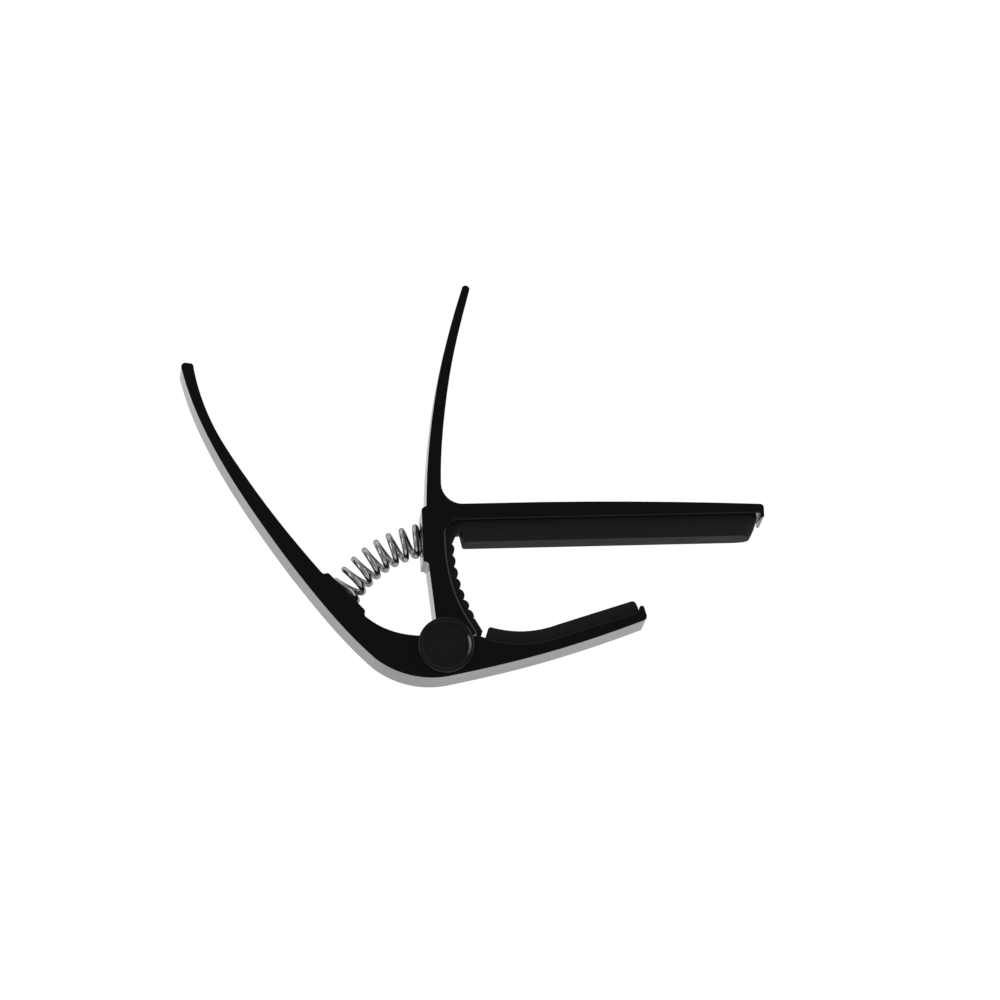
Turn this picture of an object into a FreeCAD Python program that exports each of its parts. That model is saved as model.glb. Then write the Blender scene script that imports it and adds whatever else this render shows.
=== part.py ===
import FreeCAD, Part
import math
import os

# Spring-loaded trigger capo, lying on its side. The origin is on the hinge line
# in the lower side face. X runs along the fret bar towards its free end, Y runs
# from the hinge towards the squeeze handles, and Z is the width of the arms.
# Sizes are millimetres.

Vector = FreeCAD.Vector

# Arms
WIDTH = 12.0
BAR_WALL_START = 3.6
BAR_WALL_Y = 25.5
LIP_INNER_X = 64.15
BAR_END_X = 64.88
JAW_LIP_FOOT = (38.98, 6.52)
WALL_CHAMFER = 0.3
WALL_CHAMFER_DEPTH = 0.2
EDGE_ROUND = 0.12
ON_FACE = 0.001
ON_WALL = 0.002
BOSS_REACH = 7.2
HOLLOW_START_X = -13.0
HOLLOW_END_X = -4.0
TIP_START_X = 38.0

# Rubber pads, narrower than the arms and keyed into them. Each tooth on the leg
# is a curve through a shoulder and a crown, given along and out from its base line.
PAD_RECESS = 1.8
PAD_EDGE = 0.12
PAD_SIDE_REACH = 0.1
PAD_END_RADIUS = 2.6
RIB_HEIGHT = 0.7
RIB_WIDTH = 3.0
RIB_INSET = 4.0
FRET_FACE_Y = 21.27
FRET_FACE_START = Vector(4.75, FRET_FACE_Y, 0)
FRET_FACE_END = Vector(62.15, FRET_FACE_Y, 0)
FRET_PAD_END_X = 61.9
TOOTH_SHOULDER = (0.13, 0.46)
TOOTH_CROWN = (0.44, 0.76)

# Hinge, from the fret arm's tongue outwards
EAR_RADIUS = 5.2
EAR_THICKNESS = 3.0
SLOT_RADIUS = 4.9
LEG_END_RADIUS = 5.55
TONGUE_RADIUS = 4.6
WASHER_THICKNESS = 0.5
WASHER_RADIUS = 4.4
PIN_RADIUS = 2.0
RUNNING_GAP = 0.05
BUSH_RADIUS = 3.0
HEAD_RADIUS = 3.6
SCREW_RADIUS = 1.25
HEX_ACROSS_FLATS = 2.5
STOP_CORNER = (6.32, 2.36)
STOP_ANGLE = 17.5
JAW_SHOULDER = (6.2, 1.98)
SHOULDER_ANGLE = 14.8
SHOULDER_INSET = 0.4
LEG_END_ANGLE = 109.3
TONGUE_NECK_RADIUS = 6.4
TONGUE_NECK_END = 104.0
TONGUE_NECK_INSET = 5.0
SLOT_REACH = 8.0
SLOT_START_ANGLE = 18.0
SLOT_END_ANGLE = 152.0
HEAD_RECESS = 0.4
HEAD_THICKNESS = 1.0
THREAD_CLEARANCE = 0.1
BARREL_FLOOR = 2.2
SOCKET_DEPTH = 0.8
SCREW_END = 8.5
SCREW_HEAD_RADIUS = 3.25
SCREW_ACROSS_FLATS = 1.5
SCREW_SOCKET_DEPTH = 0.6

# Round caps over the hinge
CAP_RADIUS = 5.66
CAP_HEIGHT = 1.0
CAP_EDGE = 0.35
CAP_BASE = 0.25
DISC_RADIUS = 4.55
DISC_THICKNESS = 0.25
RIM_BEVEL_WIDTH = 0.5
RIM_BEVEL_DEPTH = 0.25
REAR_CAP_RADIUS = 4.2
REAR_CAP_THICKNESS = 0.6
REAR_BORE_DEPTH = 1.9
REAR_HEAD_TOP = 1.5

# Spring between the two arms. Its active turns follow an arc, and its closed
# end turns lie flat in a round pocket in each arm.
WIRE_RADIUS = 0.6
COIL_RADIUS = 2.85
SPRING_CENTRE = Vector(-0.29, 0.03, WIDTH / 2)
SPRING_ARC_RADIUS = 22.8
FIRST_TURN_ANGLE = 100.75
TURN_ANGLE = 6.343
ACTIVE_TURNS = 8
CLOSED_PITCH = 1.3
POCKET_RADIUS = 3.6
LEG_SEAT_X = -4.0
LEG_POCKET_Y = 22.5
LEG_POCKET_DEPTH = 2.4
LEG_END_INSET = 0.15
LEVER_TIP = (-51.38, 57.8)
LEVER_SEAT_TOP = Vector(-22.9, 15.12, 0)
LEVER_SEAT_FOOT = Vector(-16.2, 7.8, 0)
LEVER_POCKET_SHIFT = -0.42
LEVER_POCKET_DEPTH = 2.5


def polar(radius, degrees, z=0.0):
    angle = math.radians(degrees)
    return Vector(radius * math.cos(angle), radius * math.sin(angle), z)


def trace(start, *moves):
    """Edges through flat points. A move is ("line", end), ("arc", middle, end)
    or ("curve", point, ..., end)."""
    edges = []
    here = Vector(start[0], start[1], 0)
    for kind, *points in moves:
        points = [Vector(p[0], p[1], 0) for p in points]
        if kind == "line":
            edge = Part.LineSegment(here, points[0])
        elif kind == "arc":
            edge = Part.Arc(here, points[0], points[1])
        else:
            edge = Part.BSplineCurve()
            edge.interpolate([here] + points)
        edges.append(edge.toShape())
        here = points[-1]
    return edges


def prism(edges, low, high):
    face = Part.Face(Part.Wire(Part.__sortEdges__(edges)))
    face.translate(Vector(0, 0, low))
    return face.extrude(Vector(0, 0, high - low))


def disc(radius, low, high):
    return Part.makeCylinder(radius, high - low, Vector(0, 0, low))


def ring(outer, inner, low, high):
    return disc(outer, low, high).cut(disc(inner, low, high))


def sector(radius, start, end, low, high):
    middle = (start + end) / 2
    rim = trace(
        (0, 0),
        ("line", polar(radius, start)),
        ("arc", polar(radius, middle), polar(radius, end)),
        ("line", (0, 0)),
    )
    return prism(rim, low, high)


def rounded(shape, wanted, radius):
    """Round the edges that `wanted` picks."""
    edges = [edge for edge in shape.Edges if wanted(edge)]
    return shape.makeFillet(radius, edges)


def is_circle(edge, radius, height):
    level = abs(edge.Vertexes[0].Z - height) < 0.001
    return level and abs(edge.Length - 2 * math.pi * radius) < 0.01


def leg_wall():
    """The fret arm's rubber-side wall, from the stop up the leg to the bar."""
    return trace(
        STOP_CORNER,
        ("curve", (5.94, 3.07), (4.2, 6.07), (2.45, 10.05), (1.34, 14.03), (0.77, 18), (0.61, 22)),
        ("arc", (1.33, 24.45), (BAR_WALL_START, BAR_WALL_Y)),
    )


def stop_face():
    """The cut end of the leg, above the jaw's shoulder."""
    return trace(STOP_CORNER, ("line", polar(LEG_END_RADIUS, STOP_ANGLE)))


def bar_wall():
    return trace((BAR_WALL_START, BAR_WALL_Y), ("line", (LIP_INNER_X, BAR_WALL_Y)))


def jaw_wall():
    """The jaw's rubber-side wall, from its shoulder to the lip at the tip."""
    return trace(
        JAW_SHOULDER,
        ("line", (8.2, 1.27)),
        ("arc", (15.8, 0.02), (22.3, 1.06)),
        ("line", (38.6, 5.85)),
        ("arc", (38.9, 6.03), JAW_LIP_FOOT),
    )


def fret_arm_outline():
    """Handle, leg with its spring seat, and fret bar, in one piece."""
    leg_left = polar(LEG_END_RADIUS, LEG_END_ANGLE)
    hub_arc = polar(LEG_END_RADIUS, (STOP_ANGLE + LEG_END_ANGLE) / 2)
    handle_and_bar = trace(
        (5.5, 72.7),
        ("arc", (6.33, 73.45), (7.1, 72.6)),
        ("curve", (5.18, 66.0), (3.2, 58.2), (1.3, 47.5), (0.25, 37.6), (0.08, 33.0)),
        ("arc", (1.34, 30.0), (4.35, 28.76)),
        ("line", (20.0, 28.74)),
        ("arc", (42.0, 28.31), (64.1, 27.36)),
        ("arc", (64.64, 27.12), (BAR_END_X, 26.5)),
        ("line", (BAR_END_X, 25.0)),
        ("arc", ((LIP_INNER_X + BAR_END_X) / 2, 24.57), (LIP_INNER_X, 25.0)),
        ("line", (LIP_INNER_X, BAR_WALL_Y)),
    )
    end_and_seat = trace(
        polar(LEG_END_RADIUS, STOP_ANGLE),
        ("arc", hub_arc, leg_left),
        ("line", (-2.88, 16.15)),
        ("arc", (-3.04, 16.83), (-3.55, 17.1)),
        ("line", (-3.75, 17.12)),
        ("arc", (-3.93, 17.19), (LEG_SEAT_X, 17.37)),
        ("line", (LEG_SEAT_X, 27.65)),
        ("arc", (-3.88, 28.0), (-3.6, 28.2)),
        ("line", (-3.03, 28.5)),
        ("curve", (-2.62, 35.5), (-1.45, 45.4), (0.4, 55.3), (2.95, 64.9), (5.5, 72.7)),
    )
    return handle_and_bar + bar_wall() + leg_wall() + stop_face() + end_and_seat


def jaw_arm_outline():
    """Squeeze lever with its spring seat, hinge boss and lower jaw, in one piece."""
    shoulder_foot = polar(LEG_END_RADIUS - SHOULDER_INSET, SHOULDER_ANGLE)
    outer_side = trace(
        JAW_LIP_FOOT,
        ("arc", (39.13, 6.92), (39.5, 7.13)),
        ("arc", (39.84, 7.04), (40.02, 6.75)),
        ("line", (40.46, 5.2)),
        ("arc", (40.4, 4.6), (39.98, 4.16)),
        ("curve", (31.6, 1.32), (17.2, -2.74), (7.4, -4.92), (1.5, -6.05)),
        ("arc", (-6.9, -5.98), (-14.2, -2.38)),
        ("curve", (-18.6, 2.08), (-25.0, 9.76), (-36.5, 26.05), (-45.95, 42.55), (-49.7, 51.7), LEVER_TIP),
        ("arc", (-51.14, 58.6), (-50.4, 58.82)),
        ("line", (-49.5, 58.68)),
        ("arc", (-49.03, 58.4), (-48.9, 57.8)),
    )
    inner_side = trace(
        (-48.9, 57.8),
        ("curve", (-47.55, 51.9), (-45.1, 45.5), (-40.65, 37.7), (-33.4, 26.95), (-24.55, 15.55)),
        ("arc", (-24.0, 15.17), (-23.4, 15.28)),
        ("line", LEVER_SEAT_TOP),
        ("line", LEVER_SEAT_FOOT),
        ("arc", (-15.98, 7.4), (-16.05, 6.95)),
        ("arc", (-16.0, 6.45), (-15.6, 6.0)),
        ("curve", (-12.0, 3.7), (-8.2, 2.48), (-4.75, 2.08)),
        ("line", (0, 0)),
        ("line", shoulder_foot),
        ("line", JAW_SHOULDER),
    )
    return outer_side + inner_side + jaw_wall()


def key(wall, inward):
    """Rib along the middle of a straight wall, standing into the arm."""
    start = wall.valueAt(RIB_INSET)
    end = wall.valueAt(wall.Length - RIB_INSET)
    across = inward * RIB_HEIGHT
    corners = [start, end, end + across, start + across]
    edges = [Part.LineSegment(a, b).toShape() for a, b in zip(corners, corners[1:] + corners[:1])]
    middle = WIDTH / 2
    return prism(edges, middle - RIB_WIDTH / 2, middle + RIB_WIDTH / 2)


def fret_rib():
    return key(bar_wall()[0], Vector(0, 1, 0))


def jaw_rib():
    straight = jaw_wall()[2]
    along = straight.Vertexes[1].Point - straight.Vertexes[0].Point
    return key(straight, Vector(along.y, -along.x, 0).normalize())


def lever_seat_frame():
    """Centre of the lever's pocket and the direction that its seat faces."""
    along = (LEVER_SEAT_FOOT - LEVER_SEAT_TOP).normalize()
    centre = (LEVER_SEAT_TOP + LEVER_SEAT_FOOT) * 0.5 + along * LEVER_POCKET_SHIFT
    centre.z = WIDTH / 2
    return centre, Vector(-along.y, along.x, 0)


def on_side_faces(edge):
    heights = [vertex.Z for vertex in edge.Vertexes]
    return max(heights) < ON_FACE or min(heights) > WIDTH - ON_FACE


def flat_middle(edge):
    middle = edge.valueAt((edge.FirstParameter + edge.LastParameter) / 2)
    return Vector(middle.x, middle.y, 0)


def is_near(edge, wall, reach):
    spot = Part.Vertex(flat_middle(edge))
    return any(spot.distToShape(part)[0] < reach for part in wall)


def finished_edges(arm, wall, is_exposed):
    """Bevel the arm's side edges beside the rubber, and round the exposed ones."""
    beside = [edge for edge in arm.Edges if on_side_faces(edge) and is_near(edge, wall, ON_WALL)]
    arm = arm.makeChamfer(WALL_CHAMFER_DEPTH, WALL_CHAMFER, beside)
    return rounded(arm, lambda edge: on_side_faces(edge) and is_exposed(edge), EDGE_ROUND)


def fret_arm():
    arm = prism(fret_arm_outline(), 0, WIDTH)
    wall = stop_face() + leg_wall() + bar_wall()
    arm = finished_edges(arm, wall, lambda edge: not is_near(edge, wall, ON_WALL))
    pocket = Part.makeCylinder(
        POCKET_RADIUS,
        LEG_POCKET_DEPTH,
        Vector(LEG_SEAT_X, LEG_POCKET_Y, WIDTH / 2),
        Vector(1, 0, 0),
    )
    tongue_low = EAR_THICKNESS + WASHER_THICKNESS
    tongue_high = WIDTH - tongue_low
    neck_start = STOP_ANGLE + TONGUE_NECK_INSET
    neck = sector(TONGUE_NECK_RADIUS, neck_start, TONGUE_NECK_END, tongue_low, tongue_high)
    tongue = neck.fuse(disc(TONGUE_RADIUS, tongue_low, tongue_high))
    arm = arm.fuse(tongue).cut(disc(BUSH_RADIUS, 0, WIDTH))
    return arm.cut(pocket).cut(fret_rib()).removeSplitter()


def is_exposed_on_jaw(edge, wall):
    """Leaves out the hinge boss and its hollow, the lip and the wall by the pad."""
    spot = flat_middle(edge)
    in_hollow = HOLLOW_START_X < spot.x < HOLLOW_END_X and spot.y > 0
    at_hinge = spot.Length < BOSS_REACH or in_hollow
    return not at_hinge and spot.x < TIP_START_X and not is_near(edge, wall, 2 * WALL_CHAMFER)


def jaw_arm():
    body = prism(jaw_arm_outline(), 0, WIDTH).fuse(disc(EAR_RADIUS, 0, WIDTH)).removeSplitter()
    wall = jaw_wall()
    body = finished_edges(body, wall, lambda edge: is_exposed_on_jaw(edge, wall))
    inner = WIDTH - EAR_THICKNESS
    slot = disc(SLOT_RADIUS, EAR_THICKNESS, inner)
    slot = slot.fuse(sector(SLOT_REACH, SLOT_START_ANGLE, SLOT_END_ANGLE, EAR_THICKNESS, inner))
    centre, facing = lever_seat_frame()
    pocket = Part.makeCylinder(POCKET_RADIUS, LEVER_POCKET_DEPTH, centre, facing * -1)
    bores = disc(PIN_RADIUS, 0, WIDTH)
    bores = bores.fuse(disc(HEAD_RADIUS, WIDTH - HEAD_RECESS - HEAD_THICKNESS, WIDTH))
    bores = bores.fuse(disc(REAR_CAP_RADIUS, 0, REAR_CAP_THICKNESS))
    bores = bores.fuse(disc(HEAD_RADIUS, 0, REAR_BORE_DEPTH))
    return body.cut(slot).cut(pocket).cut(bores).cut(jaw_rib()).removeSplitter()


def leg_teeth():
    """Finger-grip teeth down the leg's rubber, as one wavy edge from the notch. The
    last tooth, above the slot, is part of the pad's own outline."""
    valleys = [(1.72, 20.97), (1.61, 18.72), (2.02, 16.23), (2.42, 13.87)]
    valleys += [(2.95, 11.72), (3.76, 9.45), (4.65, 7.42)]
    moves = []
    for low, high in zip(valleys, valleys[1:]):
        step = Vector(high[0] - low[0], high[1] - low[1], 0)
        outward = Vector(-step.y, step.x, 0).normalize()
        shoulder, crown = [
            Vector(*low, 0) + step * along + outward * height
            for along, height in (TOOTH_SHOULDER, TOOTH_CROWN)
        ]
        moves.append(("curve", shoulder, crown, high))
    return valleys[0], moves


def fret_pad():
    """One L of rubber: the string pad under the bar, and the leg's toothed bumper
    with a plain block below its slot."""
    teeth_start, teeth = leg_teeth()
    face = trace(
        (BAR_WALL_START, BAR_WALL_Y),
        ("line", (63.72, BAR_WALL_Y)),
        ("curve", (63.2, 23.4), FRET_FACE_END),
        ("line", FRET_FACE_START),
        ("arc", (4.5, 21.52), (4.38, 21.72)),
        ("line", (3.98, 23.68)),
        ("arc", (3.89, 23.84), (3.7, 23.88)),
        ("line", (3.35, 23.84)),
        ("arc", (3.15, 23.76), (3.02, 23.55)),
        ("curve", (2.43, 22.2), teeth_start),
        *teeth,
        ("curve", (5.16, 7.36), (5.76, 6.72), (5.93, 5.92)),
        ("line", (5.08, 5.5)),
        ("line", (5.17, 5.26)),
        ("line", (6.02, 5.68)),
        ("line", (7.45, 3.15)),
        ("arc", (7.5, 2.87), (7.36, 2.63)),
        ("line", (7.0, 2.36)),
        ("arc", (6.85, 2.27), (6.67, 2.25)),
        ("line", leg_wall()[0].Vertexes[0].Point),
    )
    pad = prism(face + leg_wall(), PAD_RECESS, WIDTH - PAD_RECESS)
    pad = rounded(pad, lambda edge: at_pad_end(edge, FRET_PAD_END_X), PAD_END_RADIUS)
    string_face = [Part.LineSegment(FRET_FACE_START, FRET_FACE_END).toShape()]
    pad = rounded(pad, lambda edge: crosses_pad_side(edge, string_face), PAD_EDGE)
    return pad.fuse(fret_rib()).removeSplitter()


def is_on_pad_side(edge):
    heights = [vertex.Z for vertex in edge.Vertexes]
    level = max(heights) - min(heights) < ON_FACE
    return level and not PAD_RECESS + ON_FACE < heights[0] < WIDTH - PAD_RECESS - ON_FACE


def at_pad_end(edge, left):
    """True for the two edges that run across a pad's free end, one on each side."""
    return is_on_pad_side(edge) and min(vertex.X for vertex in edge.Vertexes) > left


def crosses_pad_side(edge, contact):
    """True where a pad's working face meets one of its sides."""
    return is_on_pad_side(edge) and is_near(edge, contact, PAD_SIDE_REACH)


def jaw_pad():
    face = trace(
        (8.05, 1.325),
        ("line", (8.62, 3.35)),
        ("arc", (8.85, 3.68), (9.3, 3.78)),
        ("curve", (12.4, 3.07), (15.8, 2.81), (19.2, 3.13), (22.6, 4.01)),
        ("line", (37.5, 8.36)),
        ("arc", (38.2, 8.27), (38.6, 7.75)),
        ("line", (38.86, 7.15)),
        ("line", JAW_LIP_FOOT),
    )
    wall = jaw_wall()[1:]
    first = trace((8.05, 1.325), ("line", (8.2, 1.27)))
    pad = prism(face + first + wall, PAD_RECESS, WIDTH - PAD_RECESS)
    pad = rounded(pad, lambda edge: crosses_pad_side(edge, face), PAD_EDGE)
    return pad.fuse(jaw_rib()).removeSplitter()


def closed_turns(seat, facing, first_side, depths):
    """Ends of the half turns that lie in a pocket, on one side and the other in turn."""
    reach = first_side * COIL_RADIUS
    return [seat - facing * depth + reach * side for side, depth in zip([1, -1, 1], depths)]


def coil_spring():
    """Every half turn is a half circle between the coil's outer and inner side."""
    leg_seat = Vector(LEG_SEAT_X, LEG_POCKET_Y, WIDTH / 2)
    lever_seat, lever_facing = lever_seat_frame()
    half = CLOSED_PITCH / 2
    leg_depths = [LEG_END_INSET + half * count for count in (2, 1, 0)]
    leg_end = closed_turns(leg_seat, Vector(-1, 0, 0), Vector(0, -1, 0), leg_depths)
    lever_outer = lever_facing.cross(Vector(0, 0, -1))
    lever_end = closed_turns(lever_seat, lever_facing, lever_outer, [half / 2, 1.5 * half, 2.5 * half])
    active = []
    for half_turn in range(2 * ACTIVE_TURNS):
        side = -1 if half_turn % 2 else 1
        angle = FIRST_TURN_ANGLE + half_turn * TURN_ANGLE / 2
        active.append(SPRING_CENTRE + polar(SPRING_ARC_RADIUS + side * COIL_RADIUS, angle))
    stations = leg_end + active + lever_end
    arcs = []
    for index, (start, end) in enumerate(zip(stations, stations[1:])):
        rise = (end - start).Length / 2 * (1 if index % 2 else -1)
        middle = (start + end) * 0.5 + Vector(0, 0, rise)
        arcs.append(Part.Arc(start, middle, end).toShape())
    section = Part.Wire(Part.makeCircle(WIRE_RADIUS, stations[0], Vector(0, 0, 1)))
    return Part.Wire(arcs).makePipeShell([section], True, False)


def hexagon(across_flats, low, high):
    corners = [polar(across_flats / math.sqrt(3), 60 * step) for step in range(6)]
    edges = [Part.LineSegment(a, b).toShape() for a, b in zip(corners, corners[1:] + corners[:1])]
    return prism(edges, low, high)


def pivot_barrel():
    """Headed steel sleeve that the arms turn on, threaded inside for the screw."""
    head_top = WIDTH - HEAD_RECESS
    head_seat = head_top - HEAD_THICKNESS
    head = disc(HEAD_RADIUS, head_seat, head_top)
    shank = disc(PIN_RADIUS, REAR_BORE_DEPTH + THREAD_CLEARANCE, head_seat)
    thread = disc(SCREW_RADIUS, REAR_BORE_DEPTH, head_top - BARREL_FLOOR)
    socket = hexagon(HEX_ACROSS_FLATS, head_top - SOCKET_DEPTH, head_top)
    return head.fuse(shank).cut(thread).cut(socket).removeSplitter()


def pivot_screw():
    head = disc(SCREW_HEAD_RADIUS, REAR_CAP_THICKNESS, REAR_HEAD_TOP)
    shank = disc(SCREW_RADIUS, REAR_HEAD_TOP, SCREW_END)
    socket = hexagon(SCREW_ACROSS_FLATS, REAR_CAP_THICKNESS, REAR_CAP_THICKNESS + SCREW_SOCKET_DEPTH)
    return head.fuse(shank).cut(socket).removeSplitter()


def lock_washer():
    return ring(SCREW_HEAD_RADIUS, SCREW_RADIUS + THREAD_CLEARANCE, REAR_HEAD_TOP, REAR_BORE_DEPTH)


def pivot_bush():
    low = EAR_THICKNESS + WASHER_THICKNESS
    return ring(BUSH_RADIUS, PIN_RADIUS + RUNNING_GAP, low, WIDTH - low)


def thrust_washer(low):
    return ring(WASHER_RADIUS, PIN_RADIUS + RUNNING_GAP, low, low + WASHER_THICKNESS)


def cap_bezel():
    """Front cap: a shallow cup with a bevelled rim, spigoted into the front ear."""
    floor = WIDTH + CAP_BASE
    top = WIDTH + CAP_HEIGHT
    spigot = disc(HEAD_RADIUS, WIDTH - HEAD_RECESS, WIDTH)
    foot = Vector(0, 0, top - RIM_BEVEL_DEPTH)
    bevel = Part.makeCone(DISC_RADIUS, DISC_RADIUS + RIM_BEVEL_WIDTH, RIM_BEVEL_DEPTH, foot)
    cup = disc(CAP_RADIUS, WIDTH, top).cut(disc(DISC_RADIUS, floor, top)).cut(bevel)
    cup = rounded(cup, lambda edge: is_circle(edge, CAP_RADIUS, top), CAP_EDGE)
    return cup.fuse(spigot).removeSplitter()


def cap_disc():
    low = WIDTH + CAP_BASE
    return disc(DISC_RADIUS, low, low + DISC_THICKNESS)


def rear_cap():
    return disc(REAR_CAP_RADIUS, 0, REAR_CAP_THICKNESS)


PARTS = {
    "fret_arm": fret_arm,
    "jaw_arm": jaw_arm,
    "fret_pad": fret_pad,
    "jaw_pad": jaw_pad,
    "coil_spring": coil_spring,
    "pivot_barrel": pivot_barrel,
    "pivot_screw": pivot_screw,
    "lock_washer": lock_washer,
    "pivot_bush": pivot_bush,
    "thrust_washer_front": lambda: thrust_washer(WIDTH - EAR_THICKNESS - WASHER_THICKNESS),
    "thrust_washer_rear": lambda: thrust_washer(EAR_THICKNESS),
    "cap_bezel_front": cap_bezel,
    "cap_disc_front": cap_disc,
    "rear_cap": rear_cap,
}

os.makedirs("parts", exist_ok=True)
for name, make in PARTS.items():
    shape = make()
    print(name, shape.isValid(), len(shape.Solids), round(shape.Volume, 2))
    shape.exportStep("parts/" + name + ".step")
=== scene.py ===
import math

import bmesh
import bpy
from mathutils import Matrix, Vector


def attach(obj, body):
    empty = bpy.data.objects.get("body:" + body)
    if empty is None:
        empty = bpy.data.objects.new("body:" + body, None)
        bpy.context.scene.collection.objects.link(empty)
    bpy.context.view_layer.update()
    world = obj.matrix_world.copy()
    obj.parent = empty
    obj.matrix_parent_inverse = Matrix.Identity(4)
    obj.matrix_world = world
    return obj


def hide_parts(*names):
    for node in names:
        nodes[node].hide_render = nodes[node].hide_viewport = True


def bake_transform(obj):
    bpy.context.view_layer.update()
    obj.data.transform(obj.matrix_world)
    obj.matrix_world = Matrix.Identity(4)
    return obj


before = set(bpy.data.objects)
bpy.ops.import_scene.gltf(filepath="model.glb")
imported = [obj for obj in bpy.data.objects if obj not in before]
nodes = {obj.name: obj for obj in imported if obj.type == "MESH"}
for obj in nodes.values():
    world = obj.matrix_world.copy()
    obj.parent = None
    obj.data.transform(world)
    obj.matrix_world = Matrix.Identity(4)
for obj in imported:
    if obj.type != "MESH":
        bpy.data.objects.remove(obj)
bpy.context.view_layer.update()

MM = 0.001

# Camera, given by the point it looks at and where it stands round that point.
# Its lengths are in metres unless the name says mm, and its angles in degrees.
AIM = Vector((0.01180, 0.02930, 0.01200))
CAMERA_DISTANCE = 1.8571
CAMERA_AZIMUTH = -18.62
CAMERA_ELEVATION = 78.8
CAMERA_ROLL = -1.956
CAMERA_NEAR = 0.01
LENS_MM = 333.2
SENSOR_MM = 36.0

# Soft boxes: where each stands and its width and height in metres, then its power
# in watts. All of them face AIM.
SOFT_BOXES = {
    "right_box": ((1.24, 0.42, 0.38), (1.3, 0.5), 4.6),
    "left_box": ((-0.96, 0.26, 0.90), (0.9, 0.16), 2.9),
    "front_box": ((0.05, -1.05, 0.60), (1.6, 0.7), 1.9),
}

# White floor, which reaches FLOOR_REACH metres each way from the origin, and the
# brightness round the scene, by the sine of the height above the horizon
FLOOR_REACH = 6.0
FLOOR_GLOW = 1.02
FLOOR_GAP_MM = 0.02
SKY = ((0.0, 1.0), (0.10, 0.90), (0.30, 0.60), (0.60, 0.38), (1.0, 0.33))

# Noise textures: their scale is in cells to the metre, and the part of their range
# that is used runs from NOISE_LOW to NOISE_HIGH
NOISE_LOW = 0.3
NOISE_HIGH = 0.7
NOISE_ROUGHNESS = 0.55
CLOUD_DETAIL = 3.0
FINE_DETAIL = 2.0
WIRE_DETAIL = 4.0
EDGE_SAMPLES = 6

COAT_CLOUD = 90.0
COAT_PEEL = 1400.0
COAT_PEEL_MM = 0.002
COAT_EDGE_MM = 0.03

RUBBER_CLOUD = 160.0
RUBBER_TOOTH = 5200.0
RUBBER_TOOTH_MM = 0.006

TURNED_RINGS = 9000.0
TURNED_RING_MM = 0.003
TURNED_EDGE_MM = 0.06

# Grain of the wire: cells to each half turn along it, and cells round it. Its noise
# takes this as its scale.
WIRE_GRAIN = (6.0, 90.0, 1.0)
WIRE_NOISE_SCALE = 1.0

# Spring between the arms, in millimetres and degrees. Its active turns follow an
# arc about ARC_CENTRE, and its closed end turns lie in a pocket in each arm.
HINGE_SIDE_Z = 6.0
WIRE_RADIUS = 0.6
COIL_RADIUS = 2.85
ARC_CENTRE = Vector((-0.29, 0.03))
ARC_RADIUS = 22.8
FIRST_ANGLE = 100.75
HALF_TURN_ANGLE = 3.1715
LAST_ACTIVE = 15
CLOSED_HALF_TURNS = 3
CLOSED_HALF_PITCH = 0.65
LEG_POCKET = Vector((-4.0, 22.5))
LEG_INWARD = Vector((1, 0))
LEG_FIRST_DEPTH = 0.15
LEG_COIL_ANGLE = 90.0
LEVER_POCKET = Vector((-19.834, 11.770))
LEVER_FACING = Vector((0.7377, 0.6751))
LEVER_FIRST_DEPTH = 0.325
LEVER_COIL_ANGLE = 132.5
RINGS_PER_HALF_TURN = 28
WIRE_SIDES = 20

# Moulded edge of the rubber pads
PAD_WELD_MM = 0.002
PAD_FLAT_DEGREES = 0.5
PAD_SHARP_DEGREES = 28
PAD_EDGE_MM = 0.12
PAD_EDGE_STEPS = 3
ROUND_PROFILE = 0.5


def place_in_scene(name, data):
    made = bpy.data.objects.new(name, data)
    bpy.context.scene.collection.objects.link(made)
    return made


def mesh_data(name, mesh):
    data = bpy.data.meshes.new(name)
    mesh.to_mesh(data)
    mesh.free()
    return data


def make_camera():
    azimuth = math.radians(CAMERA_AZIMUTH)
    elevation = math.radians(CAMERA_ELEVATION)
    level = math.cos(elevation)
    back = Vector((math.sin(azimuth) * level, -math.cos(azimuth) * level, math.sin(elevation)))
    right = Vector((0, 1, 0)).cross(back).normalized()
    right.rotate(Matrix.Rotation(math.radians(CAMERA_ROLL), 3, back))
    up = back.cross(right)
    data = bpy.data.cameras.new("view")
    data.lens = LENS_MM
    data.sensor_width = SENSOR_MM
    data.clip_start = CAMERA_NEAR
    camera = place_in_scene("view", data)
    turn = Matrix((right, up, back)).transposed().to_4x4()
    camera.matrix_world = Matrix.Translation(AIM + back * CAMERA_DISTANCE) @ turn
    bpy.context.scene.camera = camera


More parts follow.
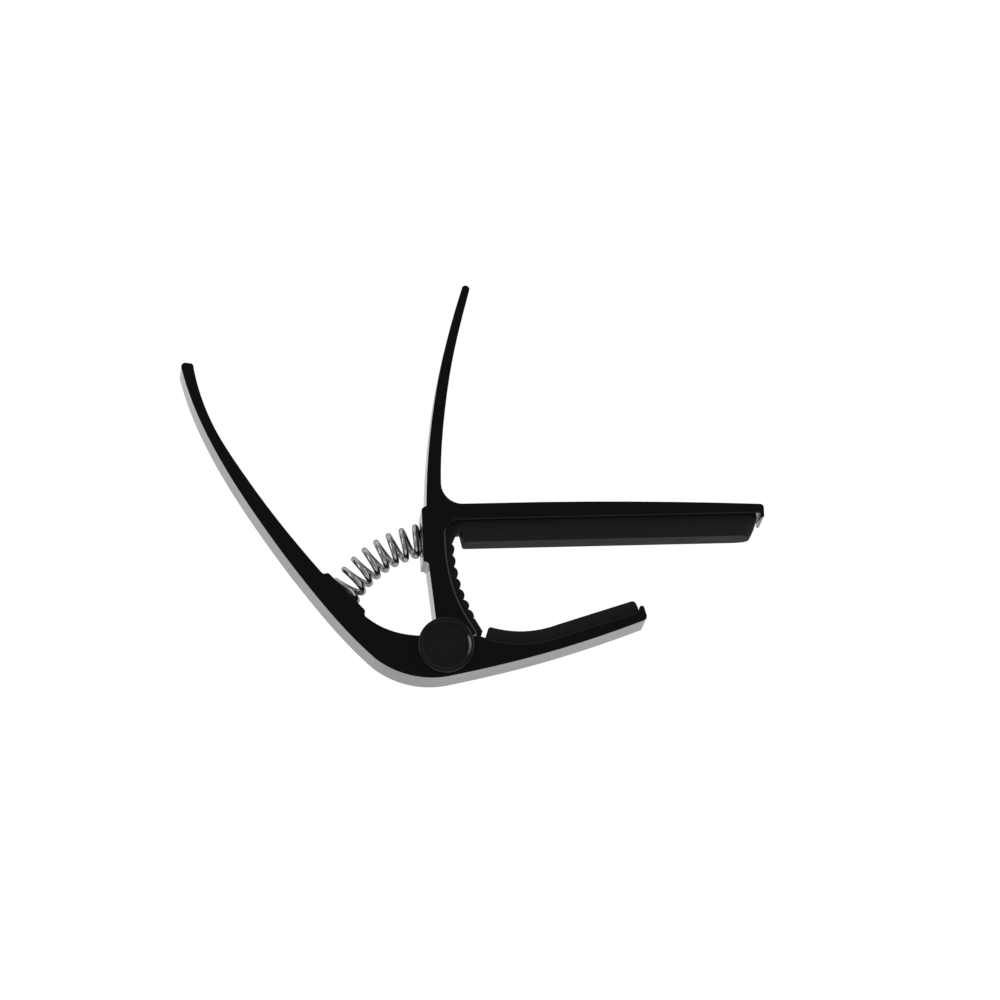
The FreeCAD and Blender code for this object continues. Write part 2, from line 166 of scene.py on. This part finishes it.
class Nodes:
    """A node tree that is built line by line."""

    def __init__(self, owner):
        owner.use_nodes = True
        self.tree = owner.node_tree
        self.tree.nodes.clear()

    def add(self, kind, **settings):
        node = self.tree.nodes.new(kind)
        for name, value in settings.items():
            setattr(node, name, value)
        return node

    def link(self, output, socket):
        self.tree.links.new(output, socket)

    def set(self, node, **sockets):
        for name, value in sockets.items():
            socket = node.inputs[name.replace("_", " ")]
            if isinstance(value, bpy.types.NodeSocket):
                self.link(value, socket)
            else:
                socket.default_value = value

    def object_place(self):
        return self.add("ShaderNodeTexCoord").outputs["Object"]

    def noise(self, vector, scale, detail):
        node = self.add("ShaderNodeTexNoise")
        self.set(node, Vector=vector, Scale=scale, Detail=detail, Roughness=NOISE_ROUGHNESS)
        return node.outputs["Fac"]

    def spread(self, value, low, high):
        node = self.add("ShaderNodeMapRange")
        self.set(node, Value=value, From_Min=NOISE_LOW, From_Max=NOISE_HIGH, To_Min=low, To_Max=high)
        return node.outputs["Result"]

    def blend_colours(self, factor, dark, light):
        node = self.add("ShaderNodeMix", data_type="RGBA")
        self.link(factor, node.inputs[0])
        node.inputs[6].default_value = (*dark, 1)
        node.inputs[7].default_value = (*light, 1)
        return node.outputs[2]

    def bump(self, height, distance_mm, normal=None):
        node = self.add("ShaderNodeBump")
        self.set(node, Height=height, Distance=distance_mm * MM, Strength=1.0)
        if normal is not None:
            self.link(normal, node.inputs["Normal"])
        return node.outputs["Normal"]

    def soft_edges(self, radius_mm):
        node = self.add("ShaderNodeBevel", samples=EDGE_SAMPLES)
        self.set(node, Radius=radius_mm * MM)
        return node.outputs["Normal"]

    def surface(self, **sockets):
        shader = self.add("ShaderNodeBsdfPrincipled")
        self.set(shader, **sockets)
        output = self.add("ShaderNodeOutputMaterial")
        self.link(shader.outputs["BSDF"], output.inputs["Surface"])


def powder_coat(name, dark, light, rough_low, rough_high, ior):
    """Black coated metal: faint orange peel, and slow changes of shade and roughness."""
    made = bpy.data.materials.new(name)
    tree = Nodes(made)
    place = tree.object_place()
    cloud = tree.noise(place, COAT_CLOUD, CLOUD_DETAIL)
    peel = tree.noise(place, COAT_PEEL, FINE_DETAIL)
    tree.surface(
        Base_Color=tree.blend_colours(cloud, dark, light),
        Roughness=tree.spread(cloud, rough_low, rough_high),
        IOR=ior,
        Normal=tree.bump(peel, COAT_PEEL_MM, normal=tree.soft_edges(COAT_EDGE_MM)),
    )
    return made


def moulded_rubber():
    """Black silicone: satin, with the fine tooth of a sand-blasted mould."""
    made = bpy.data.materials.new("moulded_rubber")
    tree = Nodes(made)
    place = tree.object_place()
    cloud = tree.noise(place, RUBBER_CLOUD, CLOUD_DETAIL)
    tooth = tree.noise(place, RUBBER_TOOTH, FINE_DETAIL)
    tree.surface(
        Base_Color=tree.blend_colours(cloud, (0.0182, 0.0182, 0.0185), (0.0208, 0.0208, 0.0211)),
        Roughness=tree.spread(cloud, 0.62, 0.72),
        IOR=1.4,
        Specular_IOR_Level=0.05,
        Normal=tree.bump(tooth, RUBBER_TOOTH_MM),
    )
    return made


def drawn_wire():
    """Polished spring wire, with faint lines drawn along it."""
    made = bpy.data.materials.new("drawn_wire")
    tree = Nodes(made)
    along = tree.add("ShaderNodeTexCoord").outputs["UV"]
    place = tree.add("ShaderNodeMapping")
    tree.set(place, Vector=along, Scale=WIRE_GRAIN)
    lines = tree.noise(place.outputs["Vector"], WIRE_NOISE_SCALE, WIRE_DETAIL)
    tree.surface(
        Base_Color=tree.blend_colours(lines, (0.41, 0.40, 0.39), (0.46, 0.45, 0.435)),
        Metallic=1.0,
        Roughness=tree.spread(lines, 0.20, 0.24),
        Specular_Tint=(0.35, 0.35, 0.35, 1),
    )
    return made


def turned_metal(name, dark, light, metallic, rough_low, rough_high):
    """Lathe-turned piece: fine rings round the hinge line."""
    made = bpy.data.materials.new(name)
    tree = Nodes(made)
    split = tree.add("ShaderNodeSeparateXYZ")
    tree.set(split, Vector=tree.object_place())
    flat = tree.add("ShaderNodeCombineXYZ")
    tree.set(flat, X=split.outputs["X"], Y=split.outputs["Y"])
    length = tree.add("ShaderNodeVectorMath", operation="LENGTH")
    tree.link(flat.outputs["Vector"], length.inputs[0])
    radius = tree.add("ShaderNodeCombineXYZ")
    tree.set(radius, X=length.outputs["Value"])
    rings = tree.noise(radius.outputs["Vector"], TURNED_RINGS, FINE_DETAIL)
    tree.surface(
        Base_Color=tree.blend_colours(rings, dark, light),
        Metallic=metallic,
        Roughness=tree.spread(rings, rough_low, rough_high),
        Normal=tree.bump(rings, TURNED_RING_MM, normal=tree.soft_edges(TURNED_EDGE_MM)),
    )
    return made


def spring_station(half_turns):
    """Coil centre and the direction to its outer side, counted in half turns
    from the first active outer point."""
    def active(count):
        angle = FIRST_ANGLE + HALF_TURN_ANGLE * count
        radians = math.radians(angle)
        return ARC_CENTRE + Vector((math.cos(radians), math.sin(radians))) * ARC_RADIUS, angle

    def in_leg(count):
        depth = LEG_FIRST_DEPTH + CLOSED_HALF_PITCH * (-1 - count)
        return LEG_POCKET + LEG_INWARD * depth, LEG_COIL_ANGLE

    def in_lever(count):
        depth = LEVER_FIRST_DEPTH + CLOSED_HALF_PITCH * (count - LAST_ACTIVE - 1)
        return LEVER_POCKET - LEVER_FACING * depth, LEVER_COIL_ANGLE

    if half_turns < 0:
        near, far, share = in_leg, active, half_turns + 1
    else:
        near, far, share = active, in_lever, half_turns - LAST_ACTIVE
    share = min(max(share, 0.0), 1.0)
    share = share * share * (3 - 2 * share)
    centre_a, angle_a = near(half_turns)
    centre_b, angle_b = far(half_turns)
    angle = math.radians(angle_a + (angle_b - angle_a) * share)
    return centre_a.lerp(centre_b, share), Vector((math.cos(angle), math.sin(angle)))


def spring_point(half_turns):
    centre, outer = spring_station(half_turns)
    phase = math.pi * half_turns
    flat = centre + outer * COIL_RADIUS * math.cos(phase)
    return Vector((flat.x, flat.y, HINGE_SIDE_Z + COIL_RADIUS * math.sin(phase)))


def make_spring():
    """The wire, as rings of points joined along its line."""
    first, last = -CLOSED_HALF_TURNS, LAST_ACTIVE + CLOSED_HALF_TURNS
    count = (last - first) * RINGS_PER_HALF_TURN
    line = [spring_point(first + (last - first) * step / count) for step in range(count + 1)]
    mesh = bmesh.new()
    uv = mesh.loops.layers.uv.new("along_wire")
    rings = []
    side = None
    for index, point in enumerate(line):
        tangent = (line[min(index + 1, count)] - line[max(index - 1, 0)]).normalized()
        side = tangent.orthogonal() if side is None else side - tangent * side.dot(tangent)
        side.normalize()
        other = tangent.cross(side)
        ring = []
        for corner in range(WIRE_SIDES):
            angle = 2 * math.pi * corner / WIRE_SIDES
            offset = (side * math.cos(angle) + other * math.sin(angle)) * WIRE_RADIUS
            ring.append(mesh.verts.new((point + offset) * MM))
        rings.append(ring)
    for index, (ring, following) in enumerate(zip(rings, rings[1:])):
        for corner in range(WIRE_SIDES):
            after = (corner + 1) % WIRE_SIDES
            face = mesh.faces.new((ring[corner], ring[after], following[after], following[corner]))
            face.smooth = True
            places = [
                (index, corner),
                (index, corner + 1),
                (index + 1, corner + 1),
                (index + 1, corner),
            ]
            for loop, (along, around) in zip(face.loops, places):
                loop[uv].uv = (along / RINGS_PER_HALF_TURN, around / WIRE_SIDES)
    mesh.faces.new(list(reversed(rings[0])))
    mesh.faces.new(rings[-1])
    piece = place_in_scene("spring_wire", mesh_data("spring_wire", mesh))
    piece.data.materials.append(drawn_wire())
    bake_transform(piece)
    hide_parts("coil_spring")


def make_pad(name, node, body, rubber):
    """The pad's CAD form with its sharp edges rounded, as a mould leaves them."""
    mesh = bmesh.new()
    mesh.from_mesh(nodes[node].data)
    bmesh.ops.remove_doubles(mesh, verts=mesh.verts, dist=PAD_WELD_MM * MM)
    bmesh.ops.dissolve_limit(
        mesh,
        angle_limit=math.radians(PAD_FLAT_DEGREES),
        verts=mesh.verts,
        edges=mesh.edges,
    )
    sharp = [
        edge for edge in mesh.edges
        if edge.is_manifold and edge.calc_face_angle() > math.radians(PAD_SHARP_DEGREES)
    ]
    bmesh.ops.bevel(
        mesh,
        geom=sharp,
        offset=PAD_EDGE_MM * MM,
        segments=PAD_EDGE_STEPS,
        profile=ROUND_PROFILE,
        affect="EDGES",
        clamp_overlap=True,
    )
    for face in mesh.faces:
        face.smooth = True
    piece = place_in_scene(name, mesh_data(name, mesh))
    piece.data.materials.append(rubber)
    weighted = piece.modifiers.new("weighted", "WEIGHTED_NORMAL")
    weighted.keep_sharp = False
    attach(piece, body)
    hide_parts(node)


def paint(node, look):
    for slot in nodes[node].material_slots:
        slot.material = look


def make_floor():
    """White floor just under the part. It glows, so it takes no shadow."""
    look = bpy.data.materials.new("floor")
    tree = Nodes(look)
    glow = tree.add("ShaderNodeEmission")
    tree.set(glow, Color=(1, 1, 1, 1), Strength=FLOOR_GLOW)
    output = tree.add("ShaderNodeOutputMaterial")
    tree.link(glow.outputs["Emission"], output.inputs["Surface"])
    mesh = bmesh.new()
    bmesh.ops.create_grid(mesh, x_segments=1, y_segments=1, size=FLOOR_REACH)
    floor = place_in_scene("floor", mesh_data("floor", mesh))
    floor.location.z = -FLOOR_GAP_MM * MM
    floor.data.materials.append(look)


def make_studio():
    """White round the horizon and grey overhead, so that black faces stay black."""
    world = bpy.data.worlds.new("studio")
    bpy.context.scene.world = world
    tree = Nodes(world)
    split = tree.add("ShaderNodeSeparateXYZ")
    tree.set(split, Vector=tree.add("ShaderNodeTexCoord").outputs["Generated"])
    ramp = tree.add("ShaderNodeValToRGB")
    tree.link(split.outputs["Z"], ramp.inputs["Fac"])
    # The ramp starts with two stops. Each new one is moved to its own height below.
    elements = ramp.color_ramp.elements
    while len(elements) < len(SKY):
        elements.new(0.5)
    for element, (height, light) in zip(elements, SKY):
        element.position = height
        element.color = (light, light, light, 1)
    glow = tree.add("ShaderNodeBackground")
    tree.set(glow, Color=ramp.outputs["Color"], Strength=1.0)
    output = tree.add("ShaderNodeOutputWorld")
    tree.link(glow.outputs["Background"], output.inputs["Surface"])


def soft_box(name, place, size, power):
    data = bpy.data.lights.new(name, "AREA")
    data.shape = "RECTANGLE"
    data.size, data.size_y = size
    data.energy = power
    lamp = place_in_scene(name, data)
    lamp.location = place
    lamp.rotation_euler = (AIM - Vector(place)).to_track_quat("-Z", "Y").to_euler()


make_camera()
make_floor()
make_studio()
for box, (place, size, power) in SOFT_BOXES.items():
    soft_box(box, place, size, power)
bpy.context.scene.view_settings.view_transform = "Standard"

rubber = moulded_rubber()
arm_coat = powder_coat(
    "arm_coat", (0.0019, 0.0019, 0.0020), (0.0026, 0.0026, 0.0027), 0.15, 0.20, ior=1.25
)
cap_coat = powder_coat(
    "cap_coat", (0.0034, 0.0034, 0.0036), (0.0044, 0.0044, 0.0046), 0.09, 0.12, ior=1.35
)
inlay = powder_coat(
    "cap_inlay_look", (0.0078, 0.0078, 0.0080), (0.0090, 0.0090, 0.0092), 0.30, 0.38, ior=1.25
)
steel = turned_metal("turned_steel", (0.40, 0.40, 0.40), (0.56, 0.56, 0.55), 1.0, 0.24, 0.36)
bronze = turned_metal("sintered_bronze", (0.42, 0.28, 0.12), (0.60, 0.42, 0.20), 1.0, 0.35, 0.50)
acetal = turned_metal("black_acetal", (0.020, 0.020, 0.021), (0.034, 0.034, 0.035), 0.0, 0.40, 0.52)

for look, painted in (
    (arm_coat, ("fret_arm", "jaw_arm")),
    (cap_coat, ("cap_bezel_front", "rear_cap")),
    (inlay, ("cap_disc_front",)),
    (steel, ("pivot_barrel", "pivot_screw", "lock_washer")),
    (bronze, ("pivot_bush",)),
    (acetal, ("thrust_washer_front", "thrust_washer_rear")),
):
    for node in painted:
        paint(node, look)

make_spring()
make_pad("string_pad", "fret_pad", "fret_side", rubber)
make_pad("jaw_rubber", "jaw_pad", "jaw_side", rubber)
